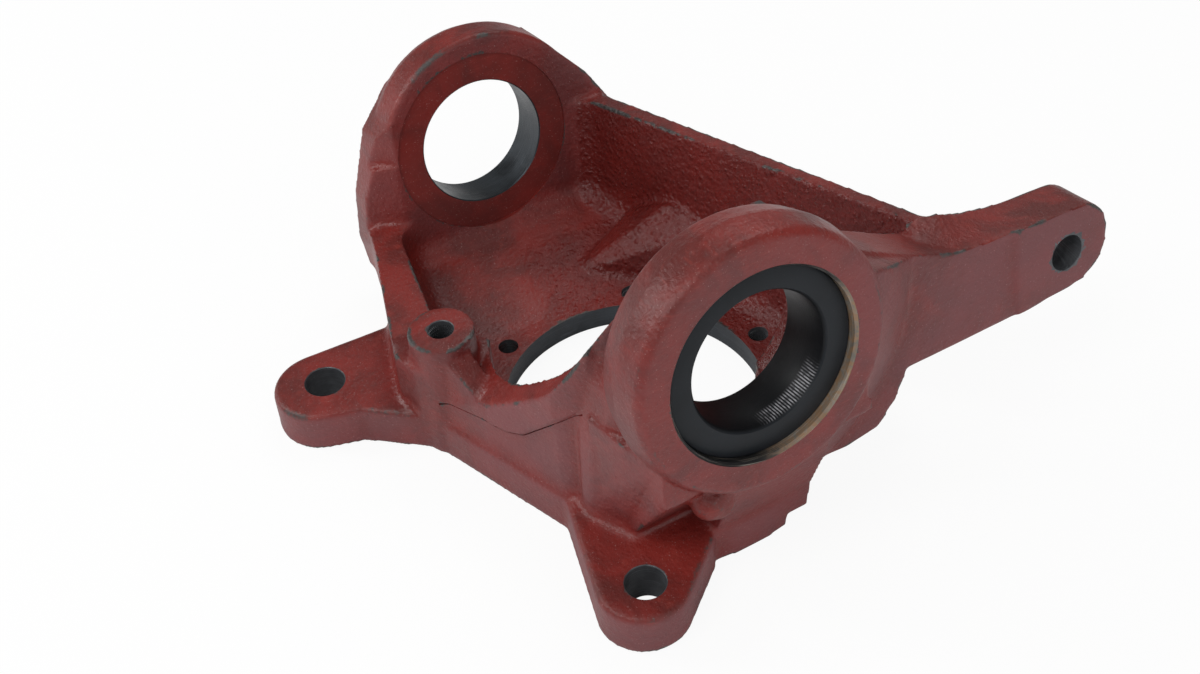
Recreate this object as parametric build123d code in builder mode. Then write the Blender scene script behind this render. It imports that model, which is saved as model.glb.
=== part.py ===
from build123d import *
import math
import os

os.makedirs("parts", exist_ok=True)

# Steering knuckle casting with a pressed-in kingpin bush, in millimetres.
# Frame: +Z is the central bore axis, Z = 0 is the flat wheel-side face, the front kingpin ear
# lies toward +X and the steering arm reaches toward +Y.

# Central bore and flange
bore_r = 57.5
floor_t = 12.0
flange_t = 20.0
flange_r = 92.8
flat_gap = 13.2
flat_angle = -71.0
rim_cut = (86.4, 18.0)
cut_corner = (86.4, 29.5)
cut_in = (70.0, 41.0)
cut_out = (60.0, 66.0)
cut_far = 96.0
stud_n = 6
stud_pcd = 132.0
stud_start = 30.0
stud_r = 4.25
blind_depth = 17.0

# Bolting lugs
lug_a_hole = (-75.5, -115.3)
lug_a_hole_r = 8.9
lug_a_tip = (-75.5, -117.6)
lug_a_r = 21.2
lug_a_side = (-94.5, -72.0)
lug_a_neck = (-50.5, -109.5)
lug_a_root = (-28.8, -84.8)
lug_b_hole = (98.2, -54.5)
lug_b_hole_r = 8.3
lug_b_tip = (97.4, -55.2)
lug_b_r = 19.4
lug_b_root = (44.0, -60.0)
lug_b_back = (94.0, -19.5)
lug_edge_r = 3.0

# Kingpin axis, rear ear
kp_height = 91.0
kp_tilt = 9.7
rear_in = -133.8
rear_t = 23.4
rear_bore_r = 30.0
rear_r = 52.6
rear_shift = 3.0
rear_crown = 2.8
rear_land = 16.4
rear_edge = 1.5
rear_left = ((-33.0, 36.0), (-49.5, 17.5), (-60.5, -12.0), (-64.0, -34.0), (-62.5, -52.0))
rear_right = ((70.0, -52.0), (70.0, -4.0), (59.3, 14.5), (39.0, 38.5))
relief_y = -43.0
relief_run = 16.5
relief_over = 6.0
relief_low = 4.0
slant_y = -45.0
slant_run = 9.0
slant_side = 15.5
slant_foot = -26.0
spot_r = 43.3
spot_d = 1.0

# Front ear and its bush
front_out = 102.0
front_t = 29.4
front_r = 54.5
front_crown = 56.0
front_edge = 2.6
front_back_edge = (3.0, 1.0, 4.0)
seat_r = 39.9
seat_cut_from = 40.0
bush_recess = 4.35
bush_wall = 11.3

# Steering arm
arm_front = 80.0
arm_t = 24.0
arm_hole = (163.1, -32.5)
arm_hole_r = 8.0
arm_end = 185.0
arm_end_top = -13.6
arm_end_low = -49.0
arm_top_r = 15.5
arm_low_r = 18.5
arm_low = -52.6
arm_low_y = 140.0
arm_top = ((27.0, 43.0), (48.0, 20.5), (68.0, 9.0), (87.5, -1.0), (105.0, -7.5), (120.0, -9.6),
           (136.4, -10.4))
arm_root = ((18.0, -75.0), (48.0, -77.0), (63.5, -74.5), (73.0, -65.0), (80.0, -52.6))
root_t = 18.0
root_deep = 30.0
root_top = ((98.0, -1.0), (112.0, -2.0), (116.5, -3.5), (126.8, -7.2), (142.0, -10.6))
root_low = ((98.0, -6.0), (112.0, -9.0), (116.5, -9.8), (126.8, -11.0), (142.0, -12.2))
pad_from = 136.4
pad_step = 0.9
flare_in = 2.0
flare_out = 0.6
flare_top_r = 47.0
flare_foot_r = 86.0
flare_cover = ((18.0, -74.0), (48.0, -76.0), (63.0, -73.5), (72.0, -64.5), (79.0, -50.8), (91.0, -50.8))
flare_upper = ((91.0, -3.0), (67.0, 8.0), (32.0, 26.0), (-8.0, 50.0))

# Walls and cavity
draft = 7.0
cup_r = 60.5
bore_clear = 72.0
cavity_fillet = 13.0
slope_foot_x = -64.0
slope_top_z = 23.0
web_front = -50.0
web_out = (-146.0, 17.0)
web_rise = 42.0
web_over = 4.0
web_plan = ((0.0, -60.0), (0.0, 95.0), (-60.0, 84.0))
web_corner = (-162.0, 58.0)
cavity_plan = ((-160.0, -41.0), (-58.0, -61.5), (0.0, -30.0), (57.5, -10.0), (57.5, 93.0), (-160.0, 40.0))
rim_face_a = (-162.0, -57.0)
rim_face_b = (-121.0, -66.6)
rim_face_c = (-46.0, -91.0)
rim_side = ((-25.0, 1.0), (-91.0, 1.0), (-142.0, 13.0), (-151.0, 42.0))
rim_plan = ((-31.0, -88.0), (-22.0, -79.0), (0.0, -40.0), (-160.0, -30.0))
rim_top = ((-127.5, 43.0), (-104.0, 34.5), (-74.0, 37.0), (-46.0, 47.0))
wall_slope = 0.7
wall_r = 71.0
wall_set = 2.2
wall_y = -60.0
wall_start = -20.0
wall_run = 90.0
wall_wedge = ((0.0, 0.0), (-55.0, -95.0), (0.0, -110.0), (186.0, -100.0), (186.0, -62.0))
wall_line = ((-32.0, 41.0), (2.0, 55.5), (25.8, 67.8), (37.7, 75.7), (44.8, 84.2), (53.6, 98.1),
             (64.0, 114.0))
block_left = ((-20.0, -50.0), (-50.0, -66.0), (-45.0, -91.0), (-31.0, -87.5))
block_run = (-24.0, 6.0)
flank_face = ((-56.0, 10.0), (-55.5, 20.0), (-54.0, 60.0), (-48.0, 90.0), (-38.0, 108.0), (-24.0, 122.0),
              (-20.0, 10.0))
flank_from = 40.0
flank_plan = ((50.0, -56.5), (58.0, -54.5), (74.0, -46.5), (76.0, -38.0), (68.0, -20.0), (50.0, -20.0))
lip_proud = 1.6
lip_line = ((-26.0, 31.0), (14.3, 38.6), (22.7, 42.6), (45.0, 66.0), (54.0, 76.0))
lip_over = 60.0
boss_at = (-33.3, -72.5)
boss_r = 14.5
boss_top = 62.0
tap_r = 5.1
tap_depth = 24.0
back_rear = (-146.0, 60.5)
back_front = (58.0, 110.2)
back_rear_z = 69.0
back_front_z = 99.0
back_foot = ((25.0, 0.0), (70.0, 44.0))
back_in = (20.0, 30.0)

# Web under the front ear, the pillar beside it and the stub between them
web_under = ((58.0, 10.0), (75.0, 10.0), (76.0, 21.0), (102.0, 60.0), (100.0, 78.0), (88.0, 80.0),
             (79.0, 54.0), (64.0, 18.0), (58.0, 12.0))
web_under_plan = ((40.0, -57.0), (58.0, -54.5), (74.0, -46.5), (110.0, -46.0), (110.0, 60.0),
                  (84.0, 29.0), (60.0, 60.0), (40.0, 60.0))
pillar_side = ((72.0, 4.0), (90.0, 4.0), (92.0, 20.0), (107.2, 64.0), (100.0, 70.0), (88.0, 70.0),
               (73.0, 35.0))
pillar_plan = ((60.0, -21.0), (94.0, -17.0), (112.0, -22.0), (112.0, 29.0), (84.5, 29.0), (60.0, 50.0))
stub_at = (-22.0, -59.0)
stub_r = 6.5
stub_back = 78.0
stub_front = 96.0
stub_edge = 2.5

tilt = math.radians(kp_tilt)
along = (math.cos(tilt), 0, math.sin(tilt))
kp = Plane(origin=(0, 0, kp_height), x_dir=(0, 1, 0), z_dir=along)
axial = Plane(origin=(0, 0, kp_height), x_dir=along, z_dir=(0, -1, 0))
from_above = Plane(origin=(0, 0, kp_height), x_dir=along, z_dir=(-math.sin(tilt), 0, math.cos(tilt)))
kp_axis = Axis((0, 0, kp_height), along)
side = Plane(origin=(0, 0, 0), x_dir=(1, 0, 0), z_dir=(0, -1, 0))
front_in = front_out - front_t
arm_back = arm_front - arm_t
flat_dist = bore_r + flat_gap
fa = math.radians(flat_angle)
flat_n = (math.cos(fa), math.sin(fa))
reach = 2 * flange_r
bush_bore_r = seat_r - bush_wall
block_flat = [(x, (flat_dist - wall_set - flat_n[0] * x) / flat_n[1]) for x in block_run]
slope_top = ((rear_in - (slope_top_z - kp_height) * math.sin(tilt)) / math.cos(tilt), slope_top_z)
slope_rate = (slope_top_z - floor_t) / (slope_foot_x - slope_top[0])


def tangent(c, r, p, turn):
    # touching point on a circle for the straight edge that runs to p
    dx, dy = p[0] - c[0], p[1] - c[1]
    a = math.atan2(dy, dx) + turn * math.acos(r / math.hypot(dx, dy))
    return (c[0] + r * math.cos(a), c[1] + r * math.sin(a))


# Flange with its front flat, the relief beside the arm root and two lugs
with BuildPart() as flange:
    with BuildSketch(Plane.XY):
        Circle(flange_r)
        with Locations((flat_n[0] * (flat_dist + flange_r), flat_n[1] * (flat_dist + flange_r))):
            Rectangle(reach, 2 * reach, rotation=flat_angle, mode=Mode.SUBTRACT)
        Polygon(rim_cut, (reach, rim_cut[1]), (reach, cut_corner[1]), cut_corner, align=None,
                mode=Mode.SUBTRACT)
        Polygon(cut_corner, (reach, cut_corner[1]), (reach, cut_far), cut_out, cut_in, align=None,
                mode=Mode.SUBTRACT)
        with Locations(lug_a_tip):
            Circle(lug_a_r)
        Polygon(
            lug_a_side,
            tangent(lug_a_tip, lug_a_r, lug_a_side, 1),
            lug_a_tip,
            tangent(lug_a_tip, lug_a_r, lug_a_neck, -1),
            lug_a_neck,
            lug_a_root,
            (0, -bore_r),
            align=None,
        )
        with Locations(lug_b_tip):
            Circle(lug_b_r)
        Polygon(
            lug_b_root,
            tangent(lug_b_tip, lug_b_r, lug_b_root, 1),
            lug_b_tip,
            tangent(lug_b_tip, lug_b_r, lug_b_back, -1),
            lug_b_back,
            (bore_r, 0),
            align=None,
        )
    extrude(amount=flange_t)
    fillet(flange.faces().sort_by(Axis.Z)[-1].outer_wire().edges(), lug_edge_r)

# Rear web that climbs from the flange to the rear ear
with BuildPart() as rear_web:
    with BuildSketch(side):
        Polygon(
            (web_front, 0),
            (-flange_r, 0),
            web_out,
            (web_out[0] - web_over, web_rise),
            (web_front, web_rise),
            align=None,
        )
    extrude(amount=reach, both=True)
    with BuildSketch(Plane.XY):
        Polygon(rim_face_a, rim_face_b, rim_face_c, *web_plan, back_rear, web_corner, align=None)
    extrude(amount=reach, mode=Mode.INTERSECT)

# Left rim between the rear ear and the boss, with its saddle
with BuildPart() as left_rim:
    with BuildSketch(side):
        with BuildLine():
            Polyline(*rim_side, rim_top[0])
            Spline(*rim_top)
            Polyline(rim_top[-1], (rim_side[0][0], rim_top[-1][1]), rim_side[0])
        make_face()
    extrude(amount=reach, both=True)
    with BuildSketch(Plane.XY):
        Polygon(rim_face_a, rim_face_b, rim_face_c, *rim_plan, align=None)
    extrude(amount=reach, mode=Mode.INTERSECT)

# Front wall: a cup round the bore with a flat face, its top climbing from the boss to the front ear
def wall_band(line):
    # prism under the climbing top line, its top sloped outward
    with BuildPart() as band:
        with BuildSketch(side.offset(-wall_start)):
            with BuildLine():
                pts = [(x, z + wall_slope * (wall_start - wall_y)) for x, z in line]
                Spline(*pts)
                Polyline(pts[-1], (pts[-1][0] + wall_r, pts[-1][1]), (pts[-1][0] + wall_r, -reach),
                         (pts[0][0], -reach), pts[0])
            make_face()
        extrude(amount=wall_run, dir=(0, -1, -wall_slope))
    return band.part


def cup_wall(proud):
    # cup with its flat face, both set out by proud
    out = flat_dist - wall_set + proud + flange_r
    with BuildPart() as cup:
        with BuildSketch(Plane.XY):
            Circle(wall_r + proud)
            with Locations((flat_n[0] * out, flat_n[1] * out)):
                Rectangle(reach, 2 * reach, rotation=flat_angle, mode=Mode.SUBTRACT)
            Polygon(*block_left, *block_flat, align=None)
            Polygon(*wall_wedge, align=None, mode=Mode.INTERSECT)
        extrude(amount=reach)
        add(wall_band(wall_line), mode=Mode.INTERSECT)
    return cup.part


with BuildPart() as front_wall:
    add(cup_wall(0))

# Lip along the top of the front wall
with BuildPart() as wall_rim:
    with BuildSketch(side):
        lip_end = (lip_line[-1][0], lip_line[-1][1] + lip_over)
        Polygon(*lip_line, lip_end, (lip_line[0][0], lip_line[0][1] + lip_over), align=None)
    extrude(amount=reach, both=True)
    add(cup_wall(lip_proud), mode=Mode.INTERSECT)

# Flank that fills the corner between the cup and the front ear
with BuildPart() as flank:
    with BuildSketch(Plane(origin=(flank_from, 0, 0), x_dir=(0, 1, 0), z_dir=(1, 0, 0))):
        Polygon(*flank_face, align=None)
    extrude(amount=flange_r - flank_from)
    with BuildSketch(Plane.XY):
        Polygon(*flank_plan, align=None)
    extrude(amount=reach, mode=Mode.INTERSECT)
    add(wall_band(wall_line), mode=Mode.INTERSECT)

# Threaded boss
with BuildPart() as boss:
    with BuildSketch(Plane.XY):
        with Locations(boss_at):
            Circle(boss_r)
    extrude(amount=boss_top)

# Back wall from the rear ear to the arm root, its underside climbing to the arm
with BuildPart() as back_wall:
    with BuildSketch(side):
        back_end = (back_foot[1][0], back_front_z + 1)
        Polygon((back_rear[0], floor_t), (-flange_r, 0), *back_foot, back_end, (back_rear[0], back_rear_z),
                align=None)
    extrude(amount=reach, both=True)
    with BuildSketch(Plane.XY):
        Polygon(back_rear, back_front, (back_front[0] - web_over, back_in[1]), (back_rear[0], back_in[0]),
                align=None)
    extrude(amount=reach, mode=Mode.INTERSECT)

# Cavity: drafted pocket between the ears, over the rear slope, with rounded corners
with BuildPart() as cavity:
    with BuildSketch(Plane.XY.offset(floor_t)):
        Polygon(*cavity_plan, align=None)
    extrude(amount=reach, taper=-draft)
    with BuildSketch(kp.offset(rear_in)):
        Rectangle(4 * reach, 4 * reach)
    extrude(amount=-reach, mode=Mode.SUBTRACT)
    with BuildSketch(side):
        Polygon((slope_foot_x, floor_t), (slope_foot_x - reach, floor_t + slope_rate * reach),
                (slope_foot_x - reach, 0), (slope_foot_x, 0), align=None)
    extrude(amount=reach, both=True, mode=Mode.SUBTRACT)
    middle = bore_r / 3
    edges = cavity.edges().filter_by(lambda e: e.center().Z < kp_height + rear_r / 2)
    rear_foot = edges.filter_by(lambda e: abs(e.center().Y) < middle and e.center().X < slope_foot_x + 1)
    rear_corners = edges.filter_by(lambda e: e.center().X < slope_foot_x and abs(e.center().Y) > middle)
    back_foot_edge = edges.filter_by(lambda e: e.center().Y > bore_r).group_by(Axis.Z)[0]
    left_edges = edges.filter_by(lambda e: e.center().Y < -bore_r and e.center().X < rear_in / 3)
    fillet(rear_foot + rear_corners + back_foot_edge + left_edges, cavity_fillet)

with BuildPart() as rear_ear:
    with BuildSketch(axial.offset(-rear_shift)):
        Polygon(
            (rear_in - rear_t, 0),
            (rear_in - rear_t, rear_r - rear_crown),
            (rear_in - rear_land, rear_r),
            (rear_in - rear_edge, rear_r),
            (rear_in, rear_r - rear_edge),
            (rear_in, 0),
            align=None,
        )
    revolve(axis=Axis((0, rear_shift, kp_height), along))
    with BuildSketch(kp.offset(rear_in - rear_t)):
        Polygon(*rear_left, *rear_right, align=None)
    extrude(amount=rear_t)

# Relief on the upper left of the ear, and the gentler slant below it that leads down to the left rim
with BuildPart() as ear_relief:
    with BuildSketch(from_above.offset(relief_low)):
        near, far = rear_in + relief_over, rear_in - relief_run - relief_over
        Polygon((near, relief_y + relief_over), (near, relief_y - rear_r), (far, relief_y - rear_r),
                (far, relief_y - relief_run - relief_over), align=None)
    extrude(amount=2 * rear_r)
    with BuildSketch(from_above.offset(slant_foot)):
        Polygon((rear_in, slant_y), (rear_in, slant_y - rear_r), (rear_in - 2 * slant_run, slant_y - rear_r),
                (rear_in - 2 * slant_run, slant_y - 2 * slant_side), align=None)
    extrude(amount=relief_low - slant_foot)

# Front ear
with BuildPart() as front_ear:
    with BuildSketch(axial):
        Polygon(
            (front_in, 0),
            (front_in, front_r - front_back_edge[2]),
            (front_in + front_back_edge[0], front_r - front_back_edge[1]),
            (front_in + front_t / 2, front_crown),
            (front_out - front_edge, front_r),
            (front_out, front_r - front_edge),
            (front_out, 0),
            align=None,
        )
    revolve(axis=kp_axis)

# Steering arm
with BuildPart() as arm:
    with BuildSketch(kp.offset(arm_back)) as arm_outline:
        Polygon(
            *arm_root,
            (arm_low_y, arm_low),
            (arm_end, arm_end_low),
            (arm_end, arm_end_top),
            *reversed(arm_top),
            align=None,
        )
        fillet(arm_outline.vertices().group_by(Axis.X)[-1].sort_by(Axis.Y)[-1], arm_top_r)
        low_end = arm_outline.vertices().filter_by_position(Axis.Y, arm_end_low - 1, arm_end_low + 1)
        fillet(low_end.sort_by(Axis.X)[-1], arm_low_r)
    extrude(amount=arm_t)
    with BuildSketch(kp.offset(arm_front - pad_step)):
        with Locations((pad_from - reach / 2, 0)):
            Rectangle(reach, reach)
    extrude(amount=arm_t, mode=Mode.SUBTRACT)

# Web that carries the back wall's top edge onto the arm
with BuildPart() as root_web:
    with BuildSketch(kp.offset(arm_back)):
        Polygon((root_top[0][0], -root_deep), *root_top, (root_top[-1][0], -root_deep), align=None)
    with BuildSketch(kp.offset(arm_back + root_t)):
        Polygon((root_top[0][0], -root_deep), *root_low, (root_top[-1][0], -root_deep), align=None)
    loft(ruled=True)

with BuildPart() as flare:
    with BuildSketch(axial):
        Polygon(
            (arm_front - flare_in, 0),
            (arm_front - flare_in, flare_foot_r),
            (front_out - flare_out, flare_top_r),
            (front_out - flare_out, 0),
            align=None,
        )
    revolve(axis=kp_axis)
    with BuildSketch(kp.offset(arm_front - flare_in)):
        Polygon(*flare_cover, *flare_upper, align=None)
    extrude(amount=front_t, mode=Mode.INTERSECT)

# Web under the front ear, the pillar beside it, flush with the flange rim, and the stub between them
with BuildPart() as support:
    with BuildSketch(side):
        Polygon(*web_under, align=None)
    extrude(amount=reach, both=True)
    with BuildSketch(Plane.XY):
        Polygon(*web_under_plan, align=None)
    extrude(amount=reach, mode=Mode.INTERSECT)
with BuildPart() as pillar:
    with BuildSketch(side):
        Polygon(*pillar_side, align=None)
    extrude(amount=reach, both=True)
    with BuildSketch(Plane.XY):
        Polygon(*pillar_plan, align=None)
    extrude(amount=reach, mode=Mode.INTERSECT)
with BuildPart() as stub:
    with BuildSketch(kp.offset(stub_back)):
        with Locations(stub_at):
            Circle(stub_r)
    extrude(amount=stub_front - stub_back)
    fillet(stub.faces().sort_by(kp_axis)[-1].edges(), stub_edge)

with BuildPart() as knuckle_casting:
    add(flange.part)
    add(rear_web.part)
    add(left_rim.part)
    add(back_wall.part)
    add(rear_ear.part)
    add(ear_relief.part, mode=Mode.SUBTRACT)
    add(cavity.part, mode=Mode.SUBTRACT)
    add(front_wall.part)
    add(wall_rim.part)
    add(flank.part)
    add(support.part)
    with BuildSketch(Plane.XY.offset(floor_t)):
        Circle(cup_r)
    extrude(amount=reach, mode=Mode.SUBTRACT)
    add(boss.part)
    add(front_ear.part)
    add(pillar.part)
    add(stub.part)
    add(arm.part)
    add(root_web.part)
    add(flare.part)
    # central bore
    with BuildSketch(Plane.XY):
        Circle(bore_r)
    extrude(amount=bore_clear, mode=Mode.SUBTRACT)
    # ear bores along the kingpin axis
    with BuildSketch(kp.offset(rear_in - 2 * rear_t)):
        Circle(rear_bore_r)
    extrude(amount=4 * rear_t, mode=Mode.SUBTRACT)
    with BuildSketch(kp.offset(rear_in - spot_d)):
        Circle(spot_r)
    extrude(amount=rear_t, mode=Mode.SUBTRACT)
    with BuildSketch(kp.offset(seat_cut_from)):
        Circle(seat_r)
    extrude(amount=front_out, mode=Mode.SUBTRACT)
    with BuildSketch(kp.offset(arm_back - arm_t)):
        with Locations(arm_hole):
            Circle(arm_hole_r)
    extrude(amount=3 * arm_t, mode=Mode.SUBTRACT)
    with BuildSketch(Plane.XY):
        with Locations(lug_a_hole):
            Circle(lug_a_hole_r)
        with Locations(lug_b_hole):
            Circle(lug_b_hole_r)
    extrude(amount=boss_top, mode=Mode.SUBTRACT)
    with BuildSketch(Plane.XY.offset(boss_top - tap_depth)):
        with Locations(boss_at):
            Circle(tap_r)
    extrude(amount=boss_top, mode=Mode.SUBTRACT)
    with BuildSketch(Plane.XY):
        with PolarLocations(stud_pcd / 2, stud_n, start_angle=stud_start):
            Circle(stud_r)
    extrude(amount=blind_depth, mode=Mode.SUBTRACT)

with BuildPart() as kingpin_bush:
    with BuildSketch(kp.offset(front_in)):
        Circle(seat_r)
        Circle(bush_bore_r, mode=Mode.SUBTRACT)
    extrude(amount=front_t - bush_recess)

knuckle_casting.part.label = "knuckle_casting"
kingpin_bush.part.label = "kingpin_bush"
export_step(knuckle_casting.part, "parts/knuckle_casting.step")
export_step(kingpin_bush.part, "parts/kingpin_bush.step")
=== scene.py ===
import math

import bmesh
import bpy
import numpy as np
from bpy.props import FloatProperty, FloatVectorProperty, IntProperty, PointerProperty
from mathutils import Euler, Matrix, Vector, noise


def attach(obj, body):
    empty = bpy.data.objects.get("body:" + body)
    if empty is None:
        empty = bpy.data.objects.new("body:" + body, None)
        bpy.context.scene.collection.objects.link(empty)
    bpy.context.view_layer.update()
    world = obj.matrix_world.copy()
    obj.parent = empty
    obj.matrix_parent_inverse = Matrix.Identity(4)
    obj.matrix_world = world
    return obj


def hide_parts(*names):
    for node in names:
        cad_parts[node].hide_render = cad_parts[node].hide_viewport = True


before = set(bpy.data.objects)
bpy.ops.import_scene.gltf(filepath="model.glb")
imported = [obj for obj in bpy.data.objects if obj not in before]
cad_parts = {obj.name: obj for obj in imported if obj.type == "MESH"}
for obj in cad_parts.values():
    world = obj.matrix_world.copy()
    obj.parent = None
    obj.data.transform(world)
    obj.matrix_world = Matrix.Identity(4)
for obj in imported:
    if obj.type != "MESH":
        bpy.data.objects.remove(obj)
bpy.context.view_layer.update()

bl_info = {
    "name": "Steering Knuckle Dressing",
    "version": (1, 0, 0),
    "blender": (4, 5, 0),
    "location": "View3D > Sidebar > Knuckle",
    "description": "Cast skin, turned bush, tapped holes, primer and studio stage for a steering knuckle",
    "category": "Object",
}

MM = 0.001
ORIGIN = (0.0, 0.0, 0.0)
COLOUR_RANGE = {"size": 3, "min": 0.0, "max": 1.0}

# Kingpin axis: a point on it over the central bore, and its direction through the front ear
KINGPIN_POINT = Vector((0.0, 0.0, 0.091))
KINGPIN_TILT = math.radians(9.7)
KINGPIN_ALONG = Vector((math.cos(KINGPIN_TILT), 0.0, math.sin(KINGPIN_TILT)))
KINGPIN_TURN = Euler((0.0, math.radians(90.0) - KINGPIN_TILT, 0.0))
KINGPIN_FRAME = Matrix.Translation(KINGPIN_POINT) @ KINGPIN_TURN.to_matrix().to_4x4()

# Stations along the kingpin axis, in millimetres
REAR_INNER_FACE = -133.8
REAR_OUTER_FACE = -157.2
SPOT_FLOOR = REAR_INNER_FACE - 1.0
FRONT_INNER_FACE = 72.6
FRONT_OUTER_FACE = 102.0
ARM_BACK_FACE = 56.0
ARM_FRONT_FACE = 80.0

# Heights above the wheel-side face, in millimetres
FLANGE_TOP = 12.0
LUG_TOP = 20.0
BOSS_TOP = 62.0
BOSS_HOLE_FLOOR = 38.0
STUD_HOLE_FLOOR = 17.0

# Drilled holes, in millimetres: centres, radii and threads; the arm's eye is at (y, w) on the kingpin frame
STUD_CIRCLE = 66.0
STUD_TURNS = [math.radians(30.0 + 60.0 * n) for n in range(6)]
STUD_CENTRES = [(STUD_CIRCLE * math.cos(turn), STUD_CIRCLE * math.sin(turn)) for turn in STUD_TURNS]
STUD_HOLE = 4.6
STUD_THREAD = {"wall": STUD_HOLE, "crest": 3.95, "pitch": 1.5, "low": 0.9, "high": 11.2}
PRIMED_STUD = 3
BOSS_CENTRE = (-33.3, -72.5)
BOSS_HOLE = 5.5
BOSS_THREAD = {"wall": BOSS_HOLE, "crest": 4.75, "pitch": 1.75, "low": 40.0, "high": 61.2}
REAR_LUG_CENTRE = (-75.5, -115.3)
REAR_LUG_HOLE = 8.9
FRONT_LUG_CENTRE = (98.2, -54.5)
FRONT_LUG_HOLE = 8.3
ARM_EYE = (163.1, -32.5)
ARM_EYE_HOLE = 8.0

# How much wider the plug of a bored or drilled hole is than the hole, and the plug of a tapped hole
PLUG_SPARE = 0.6
TAPPED_SPARE = 0.2

# Lumps that are added to the casting before it is wrapped, in millimetres
NUB_CENTRE = (98.5, -25.0, 48.5)
NUB_RADIUS = 7.4
WEB_FOOT = ((58.0, -53.0), (70.0, -48.5), (76.0, -46.0), (76.0, -36.0), (58.0, -36.0))
WEB_TOP = ((58.0, -53.5), (74.0, -46.5), (97.0, -45.8), (97.0, -36.0), (58.0, -36.0))
WEB_FILL = [(x, y, 28.0) for x, y in WEB_FOOT] + [(x, y, 76.0) for x, y in WEB_TOP]
CAVITY_BANK = (
    (-84.0, 16.0, 13.0),
    (-66.0, 38.0, 11.0),
    (-50.0, 54.0, 11.0),
    (-94.0, 55.0, 29.0),
    (-70.0, 63.0, 44.0),
    (-44.0, 70.0, 40.0),
    (-92.0, 66.0, 9.0),
    (-46.0, 76.0, 9.0),
)
BOSS_SLOPE = ((-22.0, -78.5, 58.0), (-21.0, -66.0, 58.0), (-3.0, -72.3, 44.0), (-3.0, -62.5, 44.0))
BOSS_SLOPE_FLOOR = 30.0

# Corner of the arm's plate behind the front ear that is cut off, as (y, w, station) on the kingpin frame
SPARE_TIP = [(y, w, s) for y in (20.0, 33.0) for w in (37.5, 52.0) for s in (50.0, 72.4)]

# Lip of the front wall: its line in (x, z), and the wall's flat and round faces about the bore axis
LIP_LINE = ((-24.0, 31.2), (14.3, 38.4), (22.7, 42.4), (45.0, 65.6), (50.0, 71.0))
WALL_FLAT = 68.5
WALL_ROUND = 71.0
WALL_TURN = math.radians(-71.0)
WALL_NORMAL = (math.cos(WALL_TURN), math.sin(WALL_TURN))

# Edges that bend more than this stay crisp on the casting and on the bush
CAST_CREASE = math.radians(38.0)
TURNED_CREASE = math.radians(50.0)

# Waves of the cast skin, per metre, and how sandy its kinds of faces are
SLOW_WAVES = 38.0
QUICK_WAVES = 105.0
OUTER_SAND = 0.34
POCKET_SAND = 1.25
CORNER_SAND = 1.0
SPOT_SAND = 0.05
WHEEL_FACE_SAND = 0.1
ARM_PAD_SAND = 0.12

# Middle of the chatter marks' painted highlight and of the seat's painted lit part, where its oil film
# shows, as angles round the kingpin axis
CHATTER_HIGHLIGHT_ANGLE = math.radians(60.0)
SEAT_LIT_ANGLE = math.radians(30.0)
MARKS_PER_RADIAN = 155.0

# Colours that no setting covers
BRUSHED_PRIMER = (0.30, 0.040, 0.028)
# Darker primer for concave corners: thicker primer pools there, with painted shade
POOLED_AND_SHADED_PRIMER = (0.165, 0.011, 0.008)
# Painted shade: darker primer for the pocket of the cavity
POCKET_SHADED_PRIMER = (0.125, 0.010, 0.008)
PRIMER_CRUMBS = (0.42, 0.25, 0.24)
PRIMER_PITS = (0.05, 0.010, 0.009)
DULL_IRON = (0.05, 0.046, 0.045)
DRILLED_IRON = (0.115, 0.120, 0.130)
SEAT_IRON = (0.30, 0.27, 0.23)
SEAT_SHADOW = (0.012, 0.012, 0.013)
THREAD_STEEL = (0.50, 0.53, 0.56)
PRIMED_THREAD = (0.16, 0.05, 0.045)
BUSH_SPECKS = (0.10, 0.09, 0.085)
# Painted shade: near-black for the bush's bore past its mouth
BUSH_BORE_SHADE = (0.002, 0.002, 0.0025)
# Painted highlight: bright steel for the chatter marks in the lit sector of the bush's mouth
CHATTER_HIGHLIGHT = (0.42, 0.42, 0.45)
WHITE = (1.0, 1.0, 1.0, 1.0)

# How bright the floor looks to the camera, the world's light, and how much less of it reflections show
FLOOR_GLOW = 0.92
WORLD_LIGHT = 0.40
REFLECTION_DIMMING = -0.25

# Softboxes: name, place, aim, size in metres and power in watts
SOFTBOXES = (
    ("key_softbox", (0.25, -0.95, 1.35), (0.0, 0.0, 0.06), 0.8, 9.0),
    ("fill_softbox", (1.30, 0.25, 0.75), (0.0, 0.0, 0.06), 1.2, 4.2),
    ("top_softbox", (-0.55, 0.65, 1.30), (-0.02, 0.0, 0.06), 0.9, 5.0),
    ("side_strip", (-0.80, -0.90, 0.75), (-0.05, 0.0, 0.06), 0.35, 4.8),
)


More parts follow.
